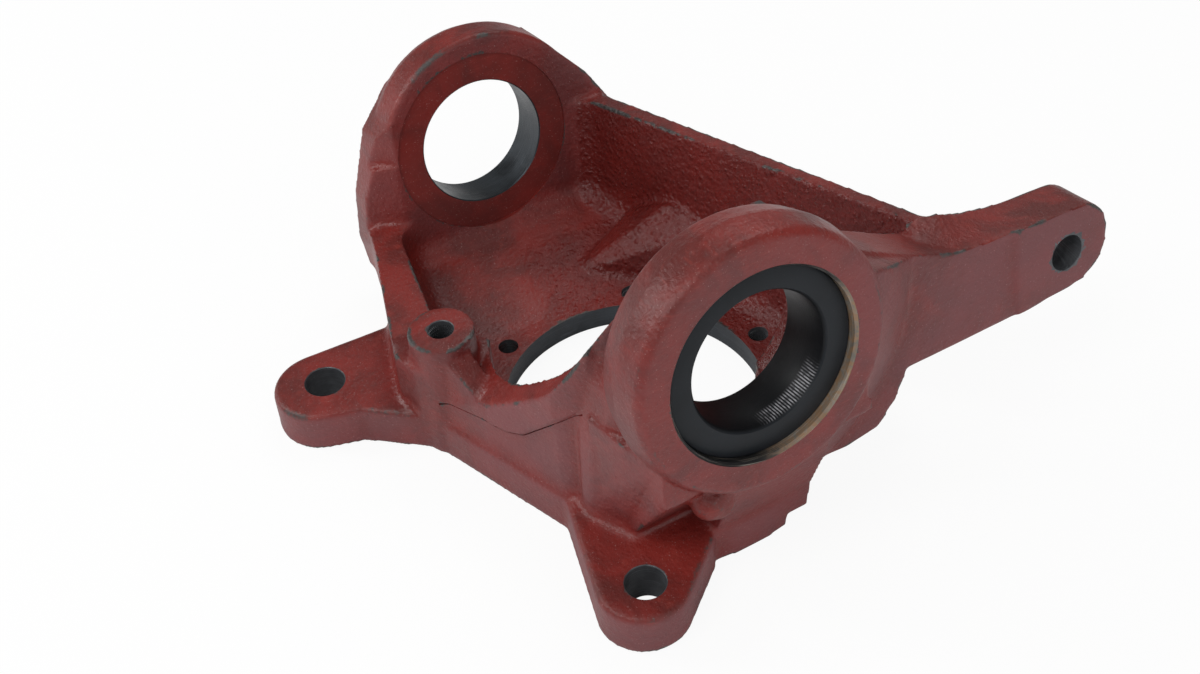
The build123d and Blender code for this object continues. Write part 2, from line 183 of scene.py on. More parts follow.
class KnuckleCastingSettings(bpy.types.PropertyGroup):
    """Sizes of the cast skin and its machined openings"""

    grain: FloatProperty(
        name="Skin Grain",
        description="Edge length of the mesh that wraps the casting",
        default=1.3 * MM,
        unit="LENGTH",
    )
    softening: IntProperty(
        name="Softening",
        description="Passes that round the cast edges and fill the inner corners",
        default=4,
        min=0,
    )
    fillet_passes: IntProperty(
        name="Fillet Passes",
        description="Passes that fill the inner corners with cast fillets",
        default=40,
        min=0,
    )
    most_triangles: IntProperty(
        name="Most Triangles",
        description="Triangles that the cast skin is thinned to before it is bored",
        default=175000,
        min=1000,
    )
    ripple: FloatProperty(
        name="Ripple",
        description="Height of the slow waves left by the sand mould",
        default=0.35 * MM,
        unit="LENGTH",
    )
    central_bore: FloatProperty(
        name="Central Bore Radius",
        description="Radius of the large bore in the flange",
        default=57.5 * MM,
        unit="LENGTH",
    )
    rear_bore: FloatProperty(
        name="Rear Bore Radius",
        description="Radius of the bore in the rear ear",
        default=30.0 * MM,
        unit="LENGTH",
    )
    spot_face: FloatProperty(
        name="Spot Face Radius",
        description="Radius of the faced ring round the rear bore",
        default=43.3 * MM,
        unit="LENGTH",
    )
    seat: FloatProperty(
        name="Bush Seat Radius",
        description="Radius of the bore in the front ear that holds the bush",
        default=39.9 * MM,
        unit="LENGTH",
    )


class KnuckleBushSettings(bpy.types.PropertyGroup):
    """Sizes of the pressed-in bush"""

    outer: FloatProperty(
        name="Outer Radius",
        description="Radius that is pressed into the front ear",
        default=39.9 * MM,
        unit="LENGTH",
    )
    bore: FloatProperty(
        name="Bore Radius",
        description="Radius that runs on the kingpin",
        default=28.6 * MM,
        unit="LENGTH",
    )
    recess: FloatProperty(
        name="Recess",
        description="Depth of the bush face below the ear's face",
        default=4.35 * MM,
        unit="LENGTH",
    )
    lead_in: FloatProperty(
        name="Lead-in",
        description="Chamfer at the mouth of the bush",
        default=1.2 * MM,
        unit="LENGTH",
    )
    colour: FloatVectorProperty(
        name="Bush Colour",
        description="Blackened steel of the bush",
        default=(0.012, 0.014, 0.017),
        subtype="COLOR",
        **COLOUR_RANGE,
    )


class KnuckleFinishSettings(bpy.types.PropertyGroup):
    """Colours of the primer and of the bare metal"""

    primer: FloatVectorProperty(
        name="Primer",
        description="Red oxide primer where it is thick",
        default=(0.205, 0.018, 0.013),
        subtype="COLOR",
        **COLOUR_RANGE,
    )
    shade: FloatVectorProperty(
        name="Primer Shade",
        description="Red oxide primer in its darker patches",
        default=(0.110, 0.014, 0.011),
        subtype="COLOR",
        **COLOUR_RANGE,
    )
    # Pale film of dusty primer and painted sheen: upright faces take it as a painted reflection of the pale
    # floor
    dust_and_sheen: FloatVectorProperty(
        name="Dust",
        description="Pale film that dulls the primer on upright faces",
        default=(0.200, 0.064, 0.070),
        subtype="COLOR",
        **COLOUR_RANGE,
    )
    iron: FloatVectorProperty(
        name="Worn Iron",
        description="Grey iron where the primer is rubbed off",
        default=(0.12, 0.11, 0.105),
        subtype="COLOR",
        **COLOUR_RANGE,
    )
    bore_steel: FloatVectorProperty(
        name="Bored Iron",
        description="Machined wall of the bores",
        default=(0.055, 0.063, 0.072),
        subtype="COLOR",
        **COLOUR_RANGE,
    )
    seat_tan: FloatVectorProperty(
        name="Seat Film",
        description="Brown oil film on the bare seat beside the bush",
        default=(0.30, 0.18, 0.10),
        subtype="COLOR",
        **COLOUR_RANGE,
    )


class KnuckleStageSettings(bpy.types.PropertyGroup):
    """Camera, lights and floor"""

    lens: FloatProperty(
        name="Lens",
        description="Focal length of the camera",
        default=48.156,
        unit="CAMERA",
    )
    camera_place: FloatVectorProperty(
        name="Camera Place",
        description="Where the camera stands",
        default=(0.43915, -0.24080, 0.51608),
        size=3,
        subtype="TRANSLATION",
        unit="LENGTH",
    )
    camera_turn: FloatVectorProperty(
        name="Camera Turn",
        description="How the camera is turned",
        default=(math.radians(46.7352), math.radians(3.4725), math.radians(59.5195)),
        size=3,
        subtype="EULER",
        unit="ROTATION",
    )
    floor: FloatVectorProperty(
        name="Floor",
        description="Pale floor under the knuckle",
        default=(0.88, 0.88, 0.88),
        subtype="COLOR",
        **COLOUR_RANGE,
    )


# Shared mesh helpers


def lathe(name, profile, place, steps=96):
    """Closed turned shape of (radius, station) pairs in millimetres, spun round place's Z axis."""
    bm = bmesh.new()
    points = [bm.verts.new(Vector((radius, 0.0, station)) * MM) for radius, station in profile]
    runs = [bm.edges.new(pair) for pair in zip(points, points[1:])]
    bmesh.ops.spin(
        bm,
        geom=points + runs,
        cent=ORIGIN,
        axis=(0.0, 0.0, 1.0),
        angle=2 * math.pi,
        steps=steps,
        use_merge=True,
        use_duplicate=False,
    )
    bmesh.ops.remove_doubles(bm, verts=bm.verts, dist=1e-6)
    bmesh.ops.transform(bm, matrix=place, verts=bm.verts)
    bmesh.ops.recalc_face_normals(bm, faces=bm.faces)
    return object_from(bm, name)


def object_from(bm, name):
    mesh = bpy.data.meshes.new(name)
    bm.to_mesh(mesh)
    bm.free()
    made = bpy.data.objects.new(name, mesh)
    bpy.context.scene.collection.objects.link(made)
    return made


def settle(piece):
    """Turns the piece's modifiers into mesh."""
    graph = bpy.context.evaluated_depsgraph_get()
    mesh = bpy.data.meshes.new_from_object(piece.evaluated_get(graph))
    old = piece.data
    piece.modifiers.clear()
    piece.data = mesh
    mesh.name = piece.name
    bpy.data.meshes.remove(old)


def upright(x, y, z=0.0):
    return Matrix.Translation(Vector((x, y, z)) * MM)


def on_kingpin(y=0.0, w=0.0):
    """Frame along the kingpin axis, moved sideways by y and up by w millimetres."""
    return KINGPIN_FRAME @ Matrix.Translation(Vector((-w, y, 0.0)) * MM)


def cylinder(radius, low, high):
    return [(0.0, low), (radius, low), (radius, high), (0.0, high)]


def drilled(radius, low, high, mouth_low=0.0, mouth_high=0.0, reach=6.0):
    """Profile of a drill that leaves a chamfer at each mouth."""
    profile = [(0.0, low - reach)]
    if mouth_low:
        profile += [(radius + mouth_low + reach, low - reach), (radius, low + mouth_low)]
    else:
        profile += [(radius, low - reach)]
    if mouth_high:
        profile += [(radius, high - mouth_high), (radius + mouth_high + reach, high + reach)]
    else:
        profile += [(radius, high + reach)]
    profile += [(0.0, high + reach)]
    return profile


def hull(name, points):
    """Closed convex lump round a few points, in millimetres."""
    bm = bmesh.new()
    for point in points:
        bm.verts.new(Vector(point) * MM)
    bmesh.ops.convex_hull(bm, input=bm.verts)
    bmesh.ops.recalc_face_normals(bm, faces=bm.faces)
    return object_from(bm, name)


def shape_of(mesh):
    bm = bmesh.new()
    bm.from_mesh(mesh)
    return bm


def joined(name, parts):
    """One object of several closed shapes."""
    bm = bmesh.new()
    for part in parts:
        mesh = part.data
        bm.from_mesh(mesh)
        bpy.data.objects.remove(part)
        bpy.data.meshes.remove(mesh)
    return object_from(bm, name)


def shade(piece, crease):
    """Keeps edges that bend more than the crease crisp and everything else smooth."""
    bm = shape_of(piece.data)
    for face in bm.faces:
        face.smooth = True
    for edge in bm.edges:
        edge.smooth = len(edge.link_faces) == 2 and edge.calc_face_angle(0.0) < crease
    bm.to_mesh(piece.data)
    bm.free()


def ride_and_slot(piece):
    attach(piece, "root")


# Shader helpers


def new_material(name):
    mat = bpy.data.materials.new(name)
    mat.use_nodes = True
    mat.node_tree.nodes.clear()
    return mat


def put(tree, kind, values=None, **settings):
    node = tree.nodes.new(kind)
    for key, value in settings.items():
        setattr(node, key, value)
    for key, value in (values or {}).items():
        node.inputs[key].default_value = value
    return node


def wire(tree, out, into):
    tree.links.new(out, into)


def calc(tree, kind, a, b=None, c=None, clamp=False):
    node = put(tree, "ShaderNodeMath", operation=kind, use_clamp=clamp)
    for n, value in enumerate((a, b, c)):
        if value is None:
            continue
        if isinstance(value, (int, float)):
            node.inputs[n].default_value = value
        else:
            wire(tree, value, node.inputs[n])
    return node.outputs[0]


def times(tree, a, b):
    return calc(tree, "MULTIPLY", a, b)


def scaled(tree, a, b, c):
    """a times b plus c."""
    return calc(tree, "MULTIPLY_ADD", a, b, c)


def ramp(tree, value, low, high, out_low=0.0, out_high=1.0):
    node = put(
        tree,
        "ShaderNodeMapRange",
        {"From Min": low, "From Max": high, "To Min": out_low, "To Max": out_high},
        clamp=True,
        interpolation_type="SMOOTHSTEP",
    )
    wire(tree, value, node.inputs["Value"])
    return node.outputs["Result"]


def blend(tree, mask, a, b):
    node = put(tree, "ShaderNodeMix", data_type="RGBA")
    wire(tree, mask, node.inputs[0])
    for n, value in ((6, a), (7, b)):
        if isinstance(value, bpy.types.NodeSocket):
            wire(tree, value, node.inputs[n])
        else:
            node.inputs[n].default_value = (*value, 1.0) if len(value) == 3 else value
    return node.outputs[2]


def noise_at(tree, vector, scale, detail=4.0, roughness=0.55, distortion=0.0):
    node = put(
        tree,
        "ShaderNodeTexNoise",
        {"Scale": scale, "Detail": detail, "Roughness": roughness, "Distortion": distortion},
    )
    wire(tree, vector, node.inputs["Vector"])
    return node.outputs["Fac"]


def attribute(tree, name):
    return put(tree, "ShaderNodeAttribute", attribute_name=name).outputs["Fac"]


def mapped(tree, vector, values, kind="POINT"):
    node = put(tree, "ShaderNodeMapping", values, vector_type=kind)
    wire(tree, vector, node.inputs["Vector"])
    return node.outputs["Vector"]


def split_up(tree, vector):
    node = put(tree, "ShaderNodeSeparateXYZ")
    wire(tree, vector, node.inputs[0])
    return node.outputs


def angle_from(tree, split, middle):
    """Angle round the bore axis, and how far it is from a middle angle."""
    angle = calc(tree, "ARCTAN2", split["X"], split["Y"])
    return angle, calc(tree, "ABSOLUTE", calc(tree, "SUBTRACT", angle, middle))


def bore_reach(tree, split):
    """Distance from the bore axis."""
    across = times(tree, split["X"], split["X"])
    across = scaled(tree, split["Y"], split["Y"], across)
    return calc(tree, "SQRT", across)


def mixed_output(tree, kind, share, a, b):
    """Two shaders mixed by a share and wired to the output."""
    mix = put(tree, "ShaderNodeMixShader")
    for n, value in enumerate((share, a.outputs[0], b.outputs[0])):
        wire(tree, value, mix.inputs[n])
    wire(tree, mix.outputs[0], put(tree, kind).inputs["Surface"])


def surface(tree, colour, rough, height, bump_values, values=None):
    """Principled surface with a bump, wired to the material's output."""
    bump = put(tree, "ShaderNodeBump", bump_values)
    wire(tree, height, bump.inputs["Height"])
    shader = put(tree, "ShaderNodeBsdfPrincipled", values)
    wire(tree, colour, shader.inputs["Base Color"])
    wire(tree, rough, shader.inputs["Roughness"])
    wire(tree, bump.outputs["Normal"], shader.inputs["Normal"])
    wire(tree, shader.outputs[0], put(tree, "ShaderNodeOutputMaterial").inputs["Surface"])
    return shader


def new_group(group_name, inputs, outputs):
    """Node group that takes a vector and the input values, and gives the output values."""
    tree = bpy.data.node_groups.new(group_name, "ShaderNodeTree")
    tree.interface.new_socket("Vector", in_out="INPUT", socket_type="NodeSocketVector")
    for name, default in inputs.items():
        socket = tree.interface.new_socket(name, in_out="INPUT", socket_type="NodeSocketFloat")
        socket.default_value = default
    for name in outputs:
        tree.interface.new_socket(name, in_out="OUTPUT", socket_type="NodeSocketFloat")
    return tree, put(tree, "NodeGroupInput").outputs, put(tree, "NodeGroupOutput").inputs


def sand_cast_group():
    """Height and pits of a sand-cast surface under paint, on Object coordinates."""
    tree, given, made = new_group("sand_cast_relief", {"Coarseness": 0.4}, ("Height", "Pits"))
    where, coarseness = given["Vector"], given["Coarseness"]
    lumps = noise_at(tree, where, 230.0, 3.0, 0.6, 0.6)
    sand = noise_at(tree, where, 760.0, 4.0, 0.6)
    fine = noise_at(tree, where, 2400.0, 2.0, 0.5)
    cells = put(tree, "ShaderNodeTexVoronoi", {"Scale": 420.0, "Randomness": 1.0}, feature="SMOOTH_F1")
    wire(tree, where, cells.inputs["Vector"])
    knobs = calc(tree, "SUBTRACT", 1.0, cells.outputs["Distance"], clamp=True)
    knobs = calc(tree, "POWER", knobs, 2.2)
    coarse = times(tree, scaled(tree, knobs, 0.9, lumps), coarseness)
    sand_depth = scaled(tree, coarseness, 0.5, 0.28)
    height = scaled(tree, sand, sand_depth, coarse)
    height = scaled(tree, fine, 0.07, height)
    wire(tree, height, made["Height"])
    wire(tree, ramp(tree, sand, 0.60, 0.74), made["Pits"])
    return tree


def rubbed_edge_group():
    """Mask of the places where paint is rubbed off, from an edge value and noise."""
    tree, given, made = new_group("rubbed_edges", {"Edge": 0.0, "Amount": 0.5}, ("Mask",))
    where = given["Vector"]
    patches = noise_at(tree, where, 46.0, 4.0, 0.65, 0.5)
    scratches = noise_at(tree, where, 900.0, 3.0, 0.7)
    rub = times(tree, given["Edge"], ramp(tree, patches, 0.42, 0.62, 0.15, 1.25))
    rub = scaled(tree, calc(tree, "SUBTRACT", scratches, 0.5), 0.75, rub)
    low = calc(tree, "SUBTRACT", 0.95, given["Amount"])
    mask = calc(tree, "SUBTRACT", rub, low)
    wire(tree, calc(tree, "MULTIPLY", mask, 3.0, clamp=True), made["Mask"])
    return tree


def shared_group(name, maker):
    return bpy.data.node_groups.get(name) or maker()


def use_group(tree, group, **values):
    node = put(tree, "ShaderNodeGroup")
    node.node_tree = group
    for key, value in values.items():
        socket = node.inputs[key]
        if isinstance(value, bpy.types.NodeSocket):
            wire(tree, value, socket)
        else:
            socket.default_value = value
    return node


def object_material(name):
    """Empty material, with its tree and its Object coordinates."""
    mat = new_material(name)
    return mat, mat.node_tree, put(mat.node_tree, "ShaderNodeTexCoord").outputs["Object"]


def primer_material(name, finish, coarse, rub, sheen_and_dust_amount, bump_strength):
    """Red oxide primer over cast iron, with a dusty film and a painted sheen on upright faces, darker
    primer with painted shade in corners and the pocket, and rubbed along edges.
    """
    mat, tree, where = object_material(name)
    up = split_up(tree, put(tree, "ShaderNodeNewGeometry").outputs["Normal"])["Z"]
    sand_cast = shared_group("sand_cast_relief", sand_cast_group)
    coarseness = times(tree, attribute(tree, "coarse"), coarse)
    relief = use_group(tree, sand_cast, Vector=where, Coarseness=coarseness)

    # Thick and thin primer with brush streaks
    patches = noise_at(tree, where, 34.0, 5.0, 0.6, 0.4)
    colour = blend(tree, ramp(tree, patches, 0.36, 0.64), finish.shade, finish.primer)
    streaks = noise_at(tree, mapped(tree, where, {"Scale": (1.0, 1.0, 7.0)}), 120.0, 3.0, 0.6)
    colour = blend(tree, ramp(tree, streaks, 0.55, 0.75, 0.0, 0.35), colour, BRUSHED_PRIMER)

    # Pale film on upright faces: dusty primer with a painted sheen, as the pale floor would reflect on
    # them; it stays out of the corners and the pocket, which take darker primer with painted shade
    upright_face = ramp(tree, calc(tree, "ABSOLUTE", up), 0.80, 0.25)
    cloud = noise_at(tree, where, 21.0, 4.0, 0.6, 0.3)
    hollow = attribute(tree, "hollow")
    pocket = ramp(tree, attribute(tree, "coarse"), 0.6, 1.1)
    clean = calc(tree, "MAXIMUM", hollow, times(tree, pocket, 0.85))
    film = times(tree, upright_face, ramp(tree, cloud, 0.25, 0.62, 0.30, 0.95))
    film = times(tree, film, calc(tree, "SUBTRACT", 1.0, clean, clamp=True))
    film = times(tree, times(tree, film, attribute(tree, "dust_and_sheen")), sheen_and_dust_amount)
    colour = blend(tree, film, colour, finish.dust_and_sheen)
    # Darker primer in concave corners: thicker primer pools there, with painted shade
    colour = blend(tree, times(tree, hollow, 0.55), colour, POOLED_AND_SHADED_PRIMER)
    # Painted shade: primer darkened in the pocket of the cavity
    colour = blend(tree, times(tree, pocket, 0.55), colour, POCKET_SHADED_PRIMER)

    # Crumbs, pits and rubbed iron
    crumbs = noise_at(tree, where, 1500.0, 2.0, 0.5)
    colour = blend(tree, ramp(tree, crumbs, 0.66, 0.74, 0.0, 0.55), colour, PRIMER_CRUMBS)
    colour = blend(tree, times(tree, relief.outputs["Pits"], 0.35), colour, PRIMER_PITS)
    rubbed = shared_group("rubbed_edges", rubbed_edge_group)
    worn = use_group(tree, rubbed, Vector=where, Edge=attribute(tree, "edge"), Amount=rub).outputs["Mask"]
    iron = blend(tree, noise_at(tree, where, 500.0, 3.0, 0.6), DULL_IRON, finish.iron)
    colour = blend(tree, worn, colour, iron)

    rough = ramp(tree, cloud, 0.3, 0.7, 0.34, 0.48)
    rough = scaled(tree, film, 0.12, rough)
    rough = scaled(tree, clean, -0.13, rough)
    bump = {"Strength": bump_strength, "Distance": 0.0007}
    shader = surface(tree, colour, rough, relief.outputs["Height"], bump)
    wire(tree, times(tree, worn, 0.5), shader.inputs["Metallic"])
    return mat


def bored_material(name, colour, metal, rough, turn=ORIGIN, place=ORIGIN, film=None, side=None):
    """Machined wall with fine turning rings along its bore, and a film; given a lit angle, the film shows
    only there and the rest of the wall is painted shadow.
    """
    mat, tree, where = object_material(name)
    bore = mapped(tree, where, {"Location": place, "Rotation": turn}, "TEXTURE")
    lines = noise_at(tree, mapped(tree, bore, {"Scale": (60.0, 60.0, 4200.0)}), 1.0, 2.0, 0.6)
    stain = noise_at(tree, where, 60.0, 4.0, 0.6, 0.5)
    base = blend(tree, ramp(tree, stain, 0.35, 0.68), tuple(0.55 * c for c in colour), colour)
    if film:
        cover = ramp(tree, noise_at(tree, where, 260.0, 4.0, 0.7, 0.8), 0.40, 0.60)
        # Painted light: the film shows only round the lit angle, and the rest of the wall is painted shadow
        if side is not None:
            away = angle_from(tree, split_up(tree, bore), side)[1]
            lit = ramp(tree, away, 1.25, 0.75)
            base = blend(tree, lit, SEAT_SHADOW, base)
            cover = times(tree, cover, lit)
        base = blend(tree, cover, base, film)
    bright = tuple(min(1.0, 2.2 * c) for c in colour)
    base = blend(tree, ramp(tree, lines, 0.55, 0.72, 0.0, 0.5), base, bright)
    rough = ramp(tree, stain, 0.3, 0.7, rough - 0.06, rough + 0.10)
    surface(tree, base, rough, lines, {"Strength": 0.35, "Distance": 0.0002}, {"Metallic": metal})
    return mat


def bush_material(name, colour):
    """Blackened turned steel. Chatter marks at the bore's mouth are painted bright as a highlight in one
    lit sector, the bore is darkened with painted shade, and a few pale specks lie on it.
    """
    mat, tree, where = object_material(name)
    bore = mapped(tree, where, {"Location": KINGPIN_POINT, "Rotation": KINGPIN_TURN}, "TEXTURE")
    split = split_up(tree, bore)

    # Chatter marks with a painted highlight: bright ticks in the one lit sector, between two stations of
    # the bore's mouth
    angle, away = angle_from(tree, split, CHATTER_HIGHLIGHT_ANGLE)
    ticks = calc(tree, "SINE", times(tree, angle, MARKS_PER_RADIAN))
    lit_sector = ramp(tree, away, 0.62, 0.30)
    mouth = times(tree, ramp(tree, split["Z"], 0.0885, 0.0915), ramp(tree, split["Z"], 0.0972, 0.0962))
    chatter_and_highlight = times(tree, times(tree, lit_sector, mouth), ramp(tree, ticks, -0.2, 0.8))
    broken = ramp(tree, noise_at(tree, where, 420.0, 2.0, 0.5), 0.35, 0.6, 0.25, 1.0)
    chatter_and_highlight = times(tree, chatter_and_highlight, broken)

    lines = noise_at(tree, mapped(tree, bore, {"Scale": (40.0, 40.0, 3600.0)}), 1.0, 2.0, 0.6)
    smudge = noise_at(tree, where, 38.0, 3.0, 0.5, 0.3)
    base = blend(tree, ramp(tree, smudge, 0.35, 0.70), colour, tuple(1.45 * c for c in colour))
    specks = noise_at(tree, where, 1300.0, 2.0, 0.5)
    base = blend(tree, ramp(tree, specks, 0.70, 0.78, 0.0, 0.4), base, BUSH_SPECKS)
    # Painted shade: the bore wall past the mouth is darkened almost to black
    inside = ramp(tree, bore_reach(tree, split), 0.0296, 0.0288)
    base = blend(tree, times(tree, inside, 0.75), base, BUSH_BORE_SHADE)
    base = blend(tree, times(tree, chatter_and_highlight, 0.9), base, CHATTER_HIGHLIGHT)
    rough = ramp(tree, smudge, 0.3, 0.7, 0.34, 0.46)
    height = scaled(tree, chatter_and_highlight, 0.6, lines)
    surface(tree, base, rough, height, {"Strength": 0.5, "Distance": 0.00015}, {"Specular IOR Level": 0.22})
    return mat


# Surface values that the materials read


def triples(items, name):
    values = np.empty(len(items) * 3)
    items.foreach_get(name, values)
    return values.reshape(-1, 3)


def points_and_normals(mesh):
    return triples(mesh.vertices, "co"), triples(mesh.vertex_normals, "vector")


def edge_ends(mesh):
    values = np.empty(len(mesh.edges) * 2, dtype=np.int64)
    mesh.edges.foreach_get("vertices", values)
    return values[0::2].copy(), values[1::2].copy()


def neighbours(ends, count):
    return np.bincount(np.concatenate(ends), minlength=count)


def blurred(values, ends, passes):
    """Values spread over the mesh by the mean of each point and its neighbours."""
    a, b = ends
    share = neighbours(ends, len(values)) + 1.0
    for _ in range(passes):
        total = values.copy()
        np.add.at(total, a, values[b])
        np.add.at(total, b, values[a])
        values = total / share
    return values


def store_bends(mesh):
    """Stores how convex (edge) and how concave (hollow) the skin is at each point."""
    place, normal = points_and_normals(mesh)
    a, b = ends = edge_ends(mesh)
    step = place[b] - place[a]
    length = np.maximum(np.linalg.norm(step, axis=1), 1e-7)
    bend = np.zeros(len(place))
    np.add.at(bend, a, -(normal[a] * step).sum(axis=1) / length)
    np.add.at(bend, b, (normal[b] * step).sum(axis=1) / length)
    bend = bend / np.maximum(neighbours(ends, len(place)), 1.0)
    hollow = np.clip(blurred(-bend, ends, 2) / 0.05, 0.0, 1.0)
    store(mesh, "edge", np.clip(blurred(bend, ends, 1) / 0.16, 0.0, 1.5))
    store(mesh, "hollow", blurred(hollow, ends, 6))


def store(mesh, name, values):
    layer = mesh.attributes.get(name) or mesh.attributes.new(name, "FLOAT", "POINT")
    layer.data.foreach_set("value", np.asarray(values, dtype=np.float32))


def kingpin_coordinates(place):
    """Station along the kingpin axis and distance from it, in millimetres."""
    offset = place - np.array(KINGPIN_POINT)
    station = offset @ np.array(KINGPIN_ALONG)
    away = offset - np.outer(station, np.array(KINGPIN_ALONG))
    return station / MM, np.linalg.norm(away, axis=1) / MM


class OBJECT_OT_knuckle_casting(bpy.types.Operator):
    """Wrap the casting in a soft cast skin and bore its machined openings"""

    bl_idname = "object.knuckle_casting"
    bl_label = "Cast Body"
    bl_options = {"REGISTER", "UNDO"}

    def execute(self, context):
        sizes = context.scene.knuckle_casting
        central, rear, seat = sizes.central_bore / MM, sizes.rear_bore / MM, sizes.seat / MM
        spot = sizes.spot_face / MM
        bm = shape_of(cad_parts["knuckle_casting"].data)
        bmesh.ops.remove_doubles(bm, verts=bm.verts, dist=2e-6)
        casting = object_from(bm, "cast_body")
        body = joined("cast_body", [casting, *self.plugs(central, rear, spot, seat), *self.lumps()])

        target = object_from(shape_of(body.data), "wrap_target")
        wrap = body.modifiers.new("Wrap", "REMESH")
        wrap.mode = "VOXEL"
        wrap.voxel_size = sizes.grain
        wrap.adaptivity = 0.0
        snap = body.modifiers.new("Snap", "SHRINKWRAP")
        snap.target = target
        snap.wrap_method = "NEAREST_SURFACEPOINT"
        soften = body.modifiers.new("Soften", "SMOOTH")
        soften.factor = 0.5
        soften.iterations = sizes.softening
        settle(body)
        bpy.data.objects.remove(target)
        self.fill_corners(body.data, sizes.fillet_passes, sizes.grain)
        self.ripple(body.data, sizes.ripple)
        thin = body.modifiers.new("Thin", "DECIMATE")
        thin.ratio = min(1.0, sizes.most_triangles / (2.0 * len(body.data.polygons)))
        settle(body)

        cutter = joined("cutters", self.cutters(central, rear, spot, seat))
        bore = body.modifiers.new("Bore", "BOOLEAN")
        bore.operation = "DIFFERENCE"
        bore.solver = "MANIFOLD"
        bore.object = cutter
        settle(body)
        bpy.data.objects.remove(cutter)
        if len(body.data.polygons) < 10000:
            raise RuntimeError("the bores emptied the cast body")

        store_bends(body.data)
        self.store_skin(body.data)
        shade(body, CAST_CREASE)
        self.paint(body.data, context.scene.knuckle_finish, central, rear, spot, seat)
        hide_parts("knuckle_casting")
        ride_and_slot(body)
        return {"FINISHED"}

    def plugs(self, central, rear, spot, seat):
        """Shapes that close every opening, so that the skin wraps straight over them."""
        front = cylinder(seat + PLUG_SPARE, FRONT_INNER_FACE, FRONT_OUTER_FACE)
        eye = cylinder(ARM_EYE_HOLE + PLUG_SPARE, ARM_BACK_FACE, ARM_FRONT_FACE)
        rear_lug = cylinder(REAR_LUG_HOLE + PLUG_SPARE, 0.0, LUG_TOP)
        front_lug = cylinder(FRONT_LUG_HOLE + PLUG_SPARE, 0.0, LUG_TOP)
        boss = cylinder(BOSS_HOLE + TAPPED_SPARE, BOSS_HOLE_FLOOR - 2.0, BOSS_TOP)
        stud = cylinder(STUD_HOLE + TAPPED_SPARE, 0.0, FLANGE_TOP)
        return [
            lathe("plug_central", cylinder(central + PLUG_SPARE, 0.0, FLANGE_TOP), upright(0, 0), 128),
            lathe("plug_rear", cylinder(rear + PLUG_SPARE, REAR_OUTER_FACE, REAR_INNER_FACE), on_kingpin()),
            lathe("plug_spot", cylinder(spot + 0.3, REAR_INNER_FACE - 3.0, REAR_INNER_FACE), on_kingpin()),
            lathe("plug_front", front, on_kingpin()),
            lathe("plug_eye", eye, on_kingpin(*ARM_EYE), 48),
            lathe("plug_rear_lug", rear_lug, upright(*REAR_LUG_CENTRE), 48),
            lathe("plug_front_lug", front_lug, upright(*FRONT_LUG_CENTRE), 48),
            lathe("plug_boss", boss, upright(*BOSS_CENTRE), 48),
            *(lathe(f"plug_stud_{n}", stud, upright(*centre), 32) for n, centre in enumerate(STUD_CENTRES)),
        ]

    def lumps(self):
        """Shapes that the photographed casting has and the plain solid lacks."""
        turns = [math.radians(a) for a in range(-90, 91, 15)]
        knob = [(NUB_RADIUS * math.cos(a), NUB_RADIUS * math.sin(a)) for a in turns]
        slope_foot = tuple((x, y, BOSS_SLOPE_FLOOR) for x, y, _ in BOSS_SLOPE)
        return [
            hull("fill_web", WEB_FILL),
            hull("cavity_bank", CAVITY_BANK),
            lathe("nub_knob", knob, upright(*NUB_CENTRE), 32),
            hull("fill_boss", BOSS_SLOPE + slope_foot),
        ]

    def cutters(self, central, rear, spot, seat):
        """Drills for every opening, the groove under the lip and the cut at the arm's plate."""
        rear_profile = [
            (0.0, REAR_OUTER_FACE - 6.0),
            (rear + 6.8, REAR_OUTER_FACE - 6.0),
            (rear, REAR_OUTER_FACE + 0.8),
            (rear, SPOT_FLOOR - 0.5),
            (rear + 0.5, SPOT_FLOOR),
            (spot, SPOT_FLOOR),
            (spot, REAR_INNER_FACE + 14.0),
            (0.0, REAR_INNER_FACE + 14.0),
        ]
        eye = drilled(ARM_EYE_HOLE, ARM_BACK_FACE, ARM_FRONT_FACE, 0.6, 0.4)
        rear_lug = drilled(REAR_LUG_HOLE, 0.0, LUG_TOP, 0.6, 0.5)
        front_lug = drilled(FRONT_LUG_HOLE, 0.0, LUG_TOP, 0.6, 0.5)
        boss = drilled(BOSS_HOLE, BOSS_HOLE_FLOOR, BOSS_TOP, 0.0, 0.5, 0.01)
        stud = drilled(STUD_HOLE, 0.0, STUD_HOLE_FLOOR, 0.6, 0.0, 0.01)
        return [
            lathe("cut_central", drilled(central, 0.0, FLANGE_TOP, 0.8, 0.0, 5.0), upright(0, 0), 192),
            lathe("cut_rear", rear_profile, on_kingpin(), 144),
            lathe("cut_front", drilled(seat, 40.0, FRONT_OUTER_FACE, 0.0, 1.3, 4.0), on_kingpin(), 144),
            lathe("cut_eye", eye, on_kingpin(*ARM_EYE), 64),
            lathe("cut_rear_lug", rear_lug, upright(*REAR_LUG_CENTRE), 64),
            lathe("cut_front_lug", front_lug, upright(*FRONT_LUG_CENTRE), 64),
            lathe("cut_boss", boss, upright(*BOSS_CENTRE), 64),
            *(lathe(f"cut_stud_{n}", stud, upright(*centre), 48) for n, centre in enumerate(STUD_CENTRES)),
            self.lip_groove(),
            hull("cut_tip", [KINGPIN_FRAME @ (Vector((-w, y, s)) * MM) / MM for y, w, s in SPARE_TIP]),
        ]

